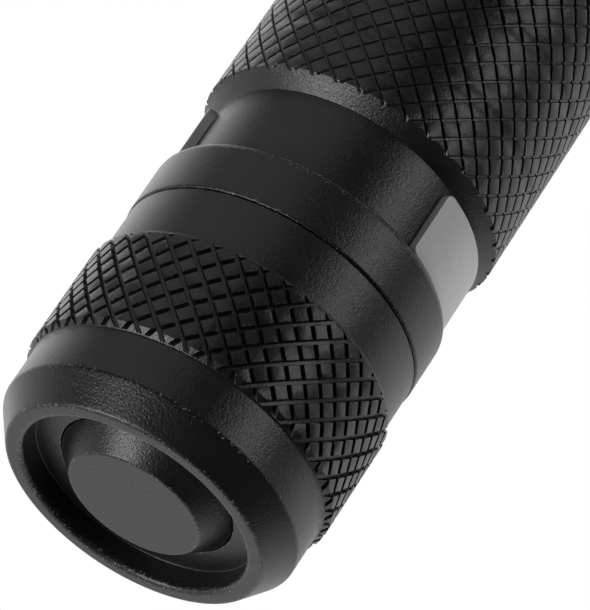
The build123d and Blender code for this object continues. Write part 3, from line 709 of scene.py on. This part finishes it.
arm_route = np.concatenate([bends[:1], *rounded, bends[-1:]])
walked = np.concatenate([[0], np.cumsum(np.linalg.norm(np.diff(arm_route, axis=0), axis=1))])
tip_radius = arm_width / 3
arm_walk = np.unique(np.concatenate([walked, np.linspace(0, walked[-1], 60),
                                     walked[-1] - tip_radius * (1 - np.cos(np.linspace(0, pi / 2, 12)))]))


def arm_middle(walk):
    """Radius and height of the arm's middle line at a distance along it."""
    return np.interp(walk, walked, arm_route[:, 0]), np.interp(walk, walked, arm_route[:, 1])


def arm_place(walk, across, inset, side, fall):
    """A point of the arm: the route gives its middle line in radius and height, and the strip keeps
    the curve of the ring across its width. The tip is rounded in plan."""
    step = 0.02
    radius, height = arm_middle(walk)
    ahead, behind = arm_middle(walk + step), arm_middle(walk - step)
    lean_r, lean_z = ahead[0] - behind[0], ahead[1] - behind[1]
    size = np.hypot(lean_r, lean_z)
    offset = side * (half_thick - fall)
    radius, height = radius + offset * lean_z / size, height - offset * lean_r / size
    past = np.clip(walk - (walked[-1] - tip_radius), 0, tip_radius)
    half = arm_width / 2 - tip_radius + np.sqrt(tip_radius**2 - past**2)
    wide = across * (half - inset)
    return np.stack([wide, np.sqrt(radius**2 - wide**2), height], -1)


arm_places, arm_shape = swept_strip(arm_place, arm_walk, section)
shift = len(ring_places)
clip = mesh_object("steel_clip", np.concatenate([ring_places, arm_places]),
                   ring_shape + [[corner + shift for corner in face] for face in arm_shape])


def brushed_steel(name):
    """Stainless strip, brushed along its length, with a dull mill bloom and small rubbed scratches."""
    material, tree, spot = new_material(name)
    brush, bloom = spot.stretched(400, 400, 9000).noise(1.0, 3.0, 0.6), spot.noise(420.0, 5.0, 0.65)
    tone = (brush * 0.35 + bloom * 0.65).tones((0.68, 0.68, 0.67), (0.86, 0.86, 0.855))
    tree.finish(tone, 0.42 + bloom * 0.25 + brush * 0.08, brush * 0.5 + bloom * 0.5, 0.35, 0.015,
                {"Metallic": 0.6})
    return material


place(clip, brushed_steel("clip_steel"), "clip", "clip_steel", "pocket_clip")

# ------------------------------------------------------------------------------------------------
# Rubber rings and the button's seal: black nitrile o-rings in the grooves at both ends of the tube
# and under the bezel, and a silicone hat behind the button, clamped by its rim.
def moulded(name, dark, light, gloss, grain_size=0.12, lift=0.4):
    """A moulded finish: two close tones in clouds, and a fine skin that dulls the gloss unevenly."""
    material, tree, spot = new_material(name)
    cloud, grain = spot.noise(380.0, 4.0), spot.noise(1 / (grain_size * MM))
    tree.finish((cloud * 0.7 + grain * 0.3).tones(dark, light), gloss + grain * 0.12, grain, lift, 0.01)
    return material


def dress(node, material):
    """Gives a piece that keeps its drawn shape its finish."""
    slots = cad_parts[node].data.materials
    slots.clear()
    slots.append(material)


rubber = moulded("black_rubber", (0.008, 0.008, 0.009), (0.022, 0.022, 0.023), 0.42)
cord_sides = 40
turn = np.arange(cord_sides) * 2 * pi / cord_sides
trimmed = np.where(np.abs(np.sin(turn)) < 0.01, 0.97, 1.0)  # flat where the mould's flash was cut off
for node, body in (("tail_oring", "tube"), ("head_oring", "tube"), ("lens_oring", "head")):
    low, high, outside = span(node)
    cord = (high - low) / 2 * trimmed
    ring_path = np.column_stack([outside - (high - low) / 2 + cord * np.cos(turn),
                                 (high + low) / 2 + cord * np.sin(turn), 0 * turn])
    place(turned(node + "_ring", ring_path, 192), rubber, body, "black_rubber", node)

seal_low, seal_high, seal_rim = span("button_seal")
seal_wall, press_travel = 0.5, 1.5
hat_radius = flange_bore - side_gap
seal_path = outline([
    (0.0, seal_low, 0.0),
    (hat_radius - seal_wall, seal_low, 0.2),
    (hat_radius, seal_low + seal_wall, 0.2),
    (hat_radius, seal_high - seal_wall, 0.1),
    (seal_rim, seal_high - seal_wall, 0.12),
    (seal_rim, seal_high, 0.12),
    (hat_radius - seal_wall, seal_high, 0.1),
    (hat_radius - seal_wall, seal_low + 2 * seal_wall, 0.2),
    (hat_radius - 2 * seal_wall, seal_low + seal_wall, 0.2),
    (0.0, seal_low + seal_wall, 0.0),
], closed=False)
seal = turned("silicone_seal", seal_path, 192, closed=False)
silicone = moulded("seal_silicone", (0.03, 0.03, 0.032), (0.055, 0.055, 0.058), 0.5)
place(seal, silicone, "cap", "seal_silicone", "button_seal")
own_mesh(seal)

# ------------------------------------------------------------------------------------------------
# Switch module: a plastic ring holds a small push switch, its plunger and return spring, on a round
# board that carries the tail spring. It drops into the cap from the front as one unit.
dress("switch_holder", moulded("module_plastic", (0.014, 0.014, 0.015), (0.03, 0.03, 0.031), 0.45))
dress("switch_case", moulded("switch_plastic", (0.02, 0.021, 0.024), (0.045, 0.046, 0.05), 0.38))
dress("switch_plunger", moulded("plunger_plastic", (0.55, 0.54, 0.5), (0.72, 0.71, 0.67), 0.35))


def wire_metal(name, dark, light, gloss):
    """Drawn wire or plated metal: fine marks along the drawing, with a dull film in patches."""
    material, tree, spot = new_material(name)
    film, marks = spot.noise(520.0, 4.0), spot.stretched(900, 900, 7000).noise(1.0)
    tone = (film * 0.7 + marks * 0.3).tones(dark, light)
    tree.finish(tone, gloss + film * 0.15, marks, 0.2, 0.006, {"Metallic": 1.0})
    return material


def coil(name, node, wire, low_radius, high_radius, coils, turns_each=40, sides=12):
    """A coil spring: a circle of wire carried up a helix. The centre line's height is the share of
    the way along less part of a sine, so the coils close up towards both ends, and both are capped."""
    low, high, _ = span(node)
    share = np.linspace(0, 1, int(coils * turns_each) + 1)
    bearing = 2 * pi * coils * share
    reach = low_radius + (high_radius - low_radius) * share
    height = low + wire / 2 + (high - low - wire) * (share - 0.5 * np.sin(2 * pi * share) / (2 * pi))
    route = np.column_stack([reach * np.cos(bearing), reach * np.sin(bearing), height])
    along = np.gradient(route, axis=0)
    along /= np.linalg.norm(along, axis=1)[:, None]
    outward = np.column_stack([np.cos(bearing), np.sin(bearing), 0 * bearing])
    across = np.cross(along, outward)
    outward = np.cross(across, along)
    spoke = np.arange(sides) * 2 * pi / sides
    places = route[:, None] + wire / 2 * (outward[:, None] * np.cos(spoke)[None, :, None]
                                          + across[:, None] * np.sin(spoke)[None, :, None])
    places = places.reshape(-1, 3)
    places[:, 2] = np.clip(places[:, 2], low, high)
    faces = ring_faces(len(share), sides, False).tolist()
    faces += [list(range(sides))[::-1], list(range((len(share) - 1) * sides, len(share) * sides))]
    return mesh_object(name, places, faces, smooth=60.0)


gold_wire = wire_metal("contact_gold", (0.62, 0.42, 0.14), (0.86, 0.62, 0.24), 0.16)
contact_wire, contact_coils, contact_base, contact_tip = 0.8, 3.5, 4.4, 2.2
tail_coil = coil("tail_contact_coil", "tail_spring", contact_wire, contact_base, contact_tip, contact_coils)
place(tail_coil, gold_wire, "tail_contact", "contact_gold", "tail_spring")
head_coil = coil("head_contact_coil", "driver_spring", contact_wire, contact_tip, contact_base, contact_coils)
place(head_coil, gold_wire, "head_contact", "contact_gold", "driver_spring")
return_wire, return_radius, return_coils = 0.28, 2.1, 3.0
return_spring = coil("return_coil", "switch_spring", return_wire, return_radius, return_radius, return_coils)
steel_wire = wire_metal("spring_steel", (0.38, 0.38, 0.39), (0.6, 0.6, 0.61), 0.2)
place(return_spring, steel_wire, "cap", "spring_steel", "switch_spring")
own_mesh(return_spring)


def circuit_board(name, mask_dark, mask_light, copper):
    """A printed board: solder mask over copper tracks that stand just proud, bare plated pads, and
    a bare ring at the rim that the retainer presses on."""
    material, tree, spot = new_material(name)
    across = spot.flat()
    islands = {"Vector": across, "Scale": 420.0}
    raised = tree.math("GREATER_THAN", tree.node("TexVoronoi", islands, feature="DISTANCE_TO_EDGE"), 0.12)
    pads = tree.math("LESS_THAN", tree.node("TexVoronoi", islands), 0.16)
    bare = tree.math("MAXIMUM", pads, tree.math("GREATER_THAN", across.length(), 7.6 * MM))
    colour = bare.mix(raised.mix(mask_dark, mask_light), copper)
    tree.finish(colour, 0.3 + raised * 0.08, raised, 0.4, 0.03, {"Metallic": bare * 0.9})
    return material


green_board = circuit_board("board_green", (0.006, 0.05, 0.02), (0.012, 0.1, 0.035), (0.8, 0.6, 0.25))
dress("switch_board", green_board)

# ------------------------------------------------------------------------------------------------
# Retaining rings: turned brass rings that screw in behind the two boards and carry the current back
# to the tube. Each has two slots for a pin spanner.
def turned_metal(name, dark, light, gloss):
    """Bare turned metal: rings from the tool at a steady feed, and a light uneven tarnish."""
    material, tree, spot = new_material(name)
    feed = 0.12 * MM
    up = tree.node("SeparateXYZ", {0: spot}, 2)
    tool = tree.math("SINE", (spot.flat().length() + up) * (2 * pi / feed))
    tarnish = spot.noise(330.0, 4.0)
    tone = tarnish.tones(dark, light)
    tree.finish(tone, gloss + tarnish * 0.18, tool, 0.15, 0.004, {"Metallic": 1.0})
    return material


brass = turned_metal("brass_ring", (0.5, 0.34, 0.12), (0.78, 0.57, 0.25), 0.18)
dress("switch_retainer", brass)
dress("driver_retainer", brass)

# ------------------------------------------------------------------------------------------------
# Cell: a long lithium cell. A wound roll sits in a plated steel can with a bead rolled in under its
# shoulder, and a shrunk film covers the side and folds over both ends round an insulating ring.
cell_steel = wire_metal("cell_steel", (0.42, 0.42, 0.43), (0.66, 0.66, 0.67), 0.22)
dress("cell_can", cell_steel)
dress("cell_core", moulded("cell_roll", (0.05, 0.03, 0.02), (0.1, 0.06, 0.04), 0.5))
dress("cell_insulator", moulded("insulator_white", (0.62, 0.62, 0.6), (0.78, 0.78, 0.76), 0.5))
wrap_low, wrap_high, cell_radius = span("cell_wrap")
film, fold, bead_depth, can_top, bead_from_top = 0.15, 2.0, 0.5, wrap_high - 0.45, 3.2
cell_bead = can_top - bead_from_top
wrap_path = outline([
    (cell_radius - fold, wrap_low, 0.03),
    (cell_radius, wrap_low, 0.35),
    (cell_radius, cell_bead - bead_depth, 0.2),
    (cell_radius - bead_depth, cell_bead, 0.25),
    (cell_radius, cell_bead + bead_depth, 0.2),
    (cell_radius, wrap_high, 0.35),
    (cell_radius - fold, wrap_high, 0.03),
    (cell_radius - fold, wrap_high - film, 0.03),
    (cell_radius - film, wrap_high - film, 0.2),
    (cell_radius - film, cell_bead + bead_depth, 0.2),
    (cell_radius - film - bead_depth, cell_bead, 0.2),
    (cell_radius - film, cell_bead - bead_depth, 0.2),
    (cell_radius - film, wrap_low + film, 0.2),
    (cell_radius - fold, wrap_low + film, 0.03),
])
blue_film = moulded("cell_film", (0.012, 0.05, 0.11), (0.02, 0.075, 0.15), 0.26, 0.5, 0.15)
place(turned("film_wrap", wrap_path, 192), blue_film, "cell", "cell_film", "cell_wrap")
terminal_low, terminal_high, _ = span("cell_terminal")
terminal_radius, terminal_bevel = 3.2, 0.425
terminal_path = outline([
    (0.0, terminal_high, 0.0),
    (terminal_radius - terminal_bevel, terminal_high, 0.35),
    (terminal_radius, terminal_high - terminal_bevel, 0.3),
    (terminal_radius, terminal_low, 0.05),
    (0.0, terminal_low, 0.0),
], closed=False)
terminal = turned("button_terminal", terminal_path, 128, closed=False)
place(terminal, cell_steel, "cell", "cell_steel", "cell_terminal")

# ------------------------------------------------------------------------------------------------
# Head: turned from aluminium bar with cooling fins, a shoulder and a wide front bore, and a solid
# shelf inside with two drilled holes for the leads. Blasted and anodised with the tube.
head_low, head_high, _ = span("head_housing")
bezel_low, bezel_high, bezel_radius = span("bezel")
reflector_low, reflector_high, _ = span("reflector")
shelf_high, driver_high, socket_high = span("led_board")[0], span("driver_board")[1], tube_high + face_gap
shelf_thick, fin_rise, fin_root_rise, head_collar, shoulder_length = 4.0, 1.9, 0.6, 6.5, 7.0
fin_grooves, fin_pitch, fin_groove_width, first_groove = 3, 3.0, 1.4, 1.5
nest_gap, bezel_wall, front_wall = 0.02, 1.4, 0.95
shelf_bore, retainer_bore, driver_bore = 8.2, 10.3, 9.2
shelf_low = shelf_high - shelf_thick
fin_radius, fin_root = tube_radius + fin_rise, tube_radius + fin_root_rise
fins_low = head_low + head_collar
fins_high = fins_low + fin_grooves * fin_pitch + fin_groove_width
step_radius, front_radius = bezel_radius - nest_gap, bezel_radius - bezel_wall - nest_gap
front_bore = front_radius - front_wall
groove_lows = [fins_low + first_groove + fin_pitch * number for number in range(fin_grooves)]
fin_corners = [corner for low in groove_lows for corner in (
    (fin_radius, low, 0.22), (fin_root, low, 0.3),
    (fin_root, low + fin_groove_width, 0.3), (fin_radius, low + fin_groove_width, 0.22))]
head_path = outline([
    (0.0, shelf_low, 0.0),
    (driver_bore, shelf_low, 0.2),
    (driver_bore, driver_high, 0.05),
    (retainer_bore, driver_high, 0.05),
    (retainer_bore, socket_high, 0.05),
    (cap_socket, socket_high, 0.05),
    (cap_socket, head_thread_low, 0.05),
    (cap_land_socket, head_thread_low, 0.05),
    (cap_land_socket, head_low, 0.15),
    (tube_radius, head_low, 0.18),
    (tube_radius, fins_low - 1.9, 0.8),
    (fin_radius, fins_low, 0.4),
    *fin_corners,
    (fin_radius, fins_high, 0.5),
    (step_radius, fins_high + shoulder_length, 0.5),
    (step_radius, bezel_low - face_gap, 0.18),
    (front_radius, bezel_low - face_gap, 0.05),
    (front_radius, head_high, 0.12),
    (front_bore, head_high, 0.12),
    (front_bore, bezel_low, 0.4),
    (shelf_bore, reflector_low, 0.2),
    (shelf_bore, shelf_high, 0.05),
    (0.0, shelf_high, 0.0),
], closed=False)
head = turned("finned_head", head_path, closed=False)


def drilled(piece, radius, spots, low, high, sides=32):
    """Drills round holes through a piece by a boolean with one rod for each place."""
    turn = np.arange(sides) * 2 * pi / sides
    ring = np.column_stack([radius * np.cos(turn), radius * np.sin(turn)])
    for x, y in spots:
        ends = [np.column_stack([ring + (x, y), np.full(sides, height)]) for height in (low, high)]
        caps = [list(range(sides))[::-1], list(range(sides, 2 * sides))]
        rod = mesh_object("rod", np.concatenate(ends), ring_faces(2, sides, False).tolist() + caps)
        cut = piece.modifiers.new("hole", "BOOLEAN")
        cut.object = rod
        cut.operation = "DIFFERENCE"
        cut.solver = "EXACT"
        done = bpy.data.meshes.new_from_object(piece.evaluated_get(bpy.context.evaluated_depsgraph_get()))
        piece.modifiers.clear()
        piece.data = done
        bpy.data.objects.remove(rod)


lead_hole_radius, overrun = 0.9, 0.5
lead_places = ((7.0, 0.0), (-7.0, 0.0))
drilled(head, lead_hole_radius, lead_places, shelf_low - overrun, shelf_high + overrun)
place(head, anodised, "head", "black_anodised", "head_housing")

# ------------------------------------------------------------------------------------------------
# Driver: a round printed board between the cell and the light, with its coil and small parts
# soldered to the far side. It stands on a ledge of the head under its retaining ring.
dress("driver_board", green_board)
dress("driver_components", moulded("parts_black", (0.012, 0.012, 0.013), (0.035, 0.035, 0.037), 0.32))

# ------------------------------------------------------------------------------------------------
# Light engine: one large emitter under a clear silicone dome, soldered to a copper-cored board on
# the shelf, with a white plastic gasket that centres the reflector over it.
dress("led_board", circuit_board("copper_board", (0.62, 0.62, 0.6), (0.72, 0.72, 0.7), (0.8, 0.42, 0.24)))
dress("led_gasket", moulded("gasket_white", (0.7, 0.7, 0.68), (0.84, 0.84, 0.82), 0.4))


def phosphor(name):
    """Ceramic emitter: a yellow phosphor square with crystals, in a pale frame."""
    material, tree, spot = new_material(name)
    side = [tree.math("ABSOLUTE", tree.node("SeparateXYZ", {0: spot}, axis)) for axis in (0, 1)]
    inside = tree.math("LESS_THAN", tree.math("MAXIMUM", side[0], side[1]), 1.15 * MM)
    crystals = tree.node("TexVoronoi", {"Vector": spot, "Scale": 9000.0}, 1)
    grain = spot.noise(6000.0)
    colour = inside.mix((0.75, 0.74, 0.7), grain.tones((0.75, 0.5, 0.05), (0.9, 0.68, 0.12)))
    tree.finish(colour, 0.45 + grain * 0.2, crystals, 0.3, 0.01)
    return material


dress("led_emitter", phosphor("emitter_phosphor"))


def clear(name, index, tint, ripple):
    """Clear glass or silicone, with a faint ripple and a dusting that dulls it unevenly."""
    material, tree, spot = new_material(name)
    dust = spot.noise(300.0, 5.0)
    tree.finish(dust.tones(tint, grey(1)), dust * 0.04, dust, ripple, 0.01,
                {"Transmission Weight": 1.0, "IOR": index})
    return material


dome_low, dome_high, _ = span("led_dome")
dome_turn = np.linspace(0, pi / 2, 33)
dome_radius = dome_high - dome_low
dome_arc = np.column_stack([dome_radius * np.cos(dome_turn), dome_low + dome_radius * np.sin(dome_turn),
                            0 * dome_turn])
dome = turned("emitter_dome", np.concatenate([[(0.0, dome_low, 0.0)], dome_arc]), 96, closed=False)
place(dome, clear("dome_silicone", 1.41, (0.96, 0.96, 0.94), 0.05), "head", "dome_silicone", "led_dome")

# ------------------------------------------------------------------------------------------------
# Leads: two short wires, tinned copper under red and black insulation, from the driver up through
# the shelf to the copper board, where they are soldered.
dress("lead_positive", moulded("lead_red", (0.42, 0.015, 0.012), (0.6, 0.03, 0.02), 0.36))
dress("lead_negative", moulded("lead_black", (0.012, 0.012, 0.013), (0.03, 0.03, 0.032), 0.36))

# ------------------------------------------------------------------------------------------------
# Reflector: a deep smooth bowl turned from aluminium and polished before it is vapour coated. Its
# flange stands under the lens and its throat stands on the gasket.
focal_length, throat_radius, bowl_wall, flange_deep = 2.3, 3.5, 1.3, 1.2
lens_low, lens_high, lens_radius = span("lens")


def bowl(height):
    """Radius of a paraboloid about the emitter: the square root of 4 f (h + throat squared / 4 f)."""
    return np.sqrt(4 * focal_length * height + throat_radius**2)


bowl_height = reflector_high - reflector_low
inner_heights = bowl_height * np.linspace(0, 1, 72) ** 2
outer_heights = inner_heights[inner_heights < bowl_height - 2 * flange_deep]
shelf_of_flange = bowl_height - flange_deep
inner = np.column_stack([bowl(inner_heights), reflector_low + inner_heights])
outer = np.column_stack([bowl(outer_heights) + bowl_wall, reflector_low + outer_heights])[::-1]
flange = np.array([(lens_radius - 0.1, reflector_high), (lens_radius, reflector_high - 0.1),
                   (lens_radius, reflector_low + shelf_of_flange),
                   (bowl(shelf_of_flange) + bowl_wall / 2, reflector_low + shelf_of_flange)])
reflector_path = np.concatenate([inner, flange, outer])
reflector_path = np.column_stack([reflector_path, np.zeros(len(reflector_path))])


def mirror_coat(name):
    """Vapour-coated aluminium: bright and smooth, with a faint haze and the polisher's fine rings."""
    material, tree, spot = new_material(name)
    haze = spot.noise(200.0, 4.0)
    rings = tree.node("CombineXYZ", {0: spot.flat().length()}).noise(5000.0, 1.0)
    tone = haze.tones((0.82, 0.83, 0.85), (0.92, 0.93, 0.94), 0.2, 0.8)
    tree.finish(tone, 0.03 + haze * 0.06, rings, 0.03, 0.004, {"Metallic": 1.0})
    return material


reflector = turned("polished_reflector", reflector_path, 192)
place(reflector, mirror_coat("reflector_mirror"), "head", "reflector_mirror", "reflector")

# ------------------------------------------------------------------------------------------------
# Lens: a flat disc of toughened glass with ground edges. It lies on the reflector's flange and is
# held down by the bezel through its rubber ring.
ground_edge = 0.15
lens_path = outline([
    (0.0, lens_low, 0.0),
    (lens_radius - ground_edge, lens_low, 0.05),
    (lens_radius, lens_low + ground_edge, 0.05),
    (lens_radius, lens_high - ground_edge, 0.05),
    (lens_radius - ground_edge, lens_high, 0.05),
    (0.0, lens_high, 0.0),
], closed=False)
lens = turned("glass_lens", lens_path, closed=False)
place(lens, clear("lens_glass", 1.5, (0.97, 0.985, 0.98), 0.01), "head", "lens_glass", "lens")

# ------------------------------------------------------------------------------------------------
# Bezel: a turned ring screwed over the front of the head. Six scallops are milled across its crown
# so that light shows when the light stands on its face.
crown_wall, crown_height, flange_reach, flange_thick = 2.6, 2.8, 1.5, 1.4
scallop_width, scallop_depth, scallop_count, scallop_skirt = 9.0, 1.5, 6, 0.6
flange_top, flange_inner = bezel_high - crown_height, lens_radius - flange_reach


def scalloped(radius, height, angle):
    """The crown sinks across six round-ended slots: the depth is flat in the middle and falls as a
    quarter circle at each end, measured square to the slot. The top's rounding sinks with it."""
    share = 2 * pi / scallop_count
    off = (angle - pi / 2 + share / 2) % share - share / 2
    past = np.clip(np.abs(radius * np.sin(off)) - (scallop_width / 2 - scallop_depth), 0, scallop_depth)
    depth = np.sqrt(scallop_depth**2 - past**2)
    base = bezel_high - scallop_depth - scallop_skirt
    rise = np.clip((height - base) / (bezel_high - base), 0, 1)
    return radius, height - depth * rise


bezel_path = outline([
    (front_radius + nest_gap, bezel_low, 0.15),
    (bezel_radius, bezel_low, 0.2),
    (bezel_radius, bezel_high, 0.35),
    (bezel_radius - crown_wall, bezel_high, 0.2),
    (flange_inner, flange_top, 0.2),
    (flange_inner, flange_top - flange_thick, 0.1),
    (front_bore, flange_top - flange_thick, 0.1),
    (front_bore, head_high + face_gap, 0.05),
    (front_radius + nest_gap, head_high + face_gap, 0.05),
])
place(turned("crown_bezel", bezel_path, 720, shape=scalloped), anodised, "head", "black_anodised", "bezel")
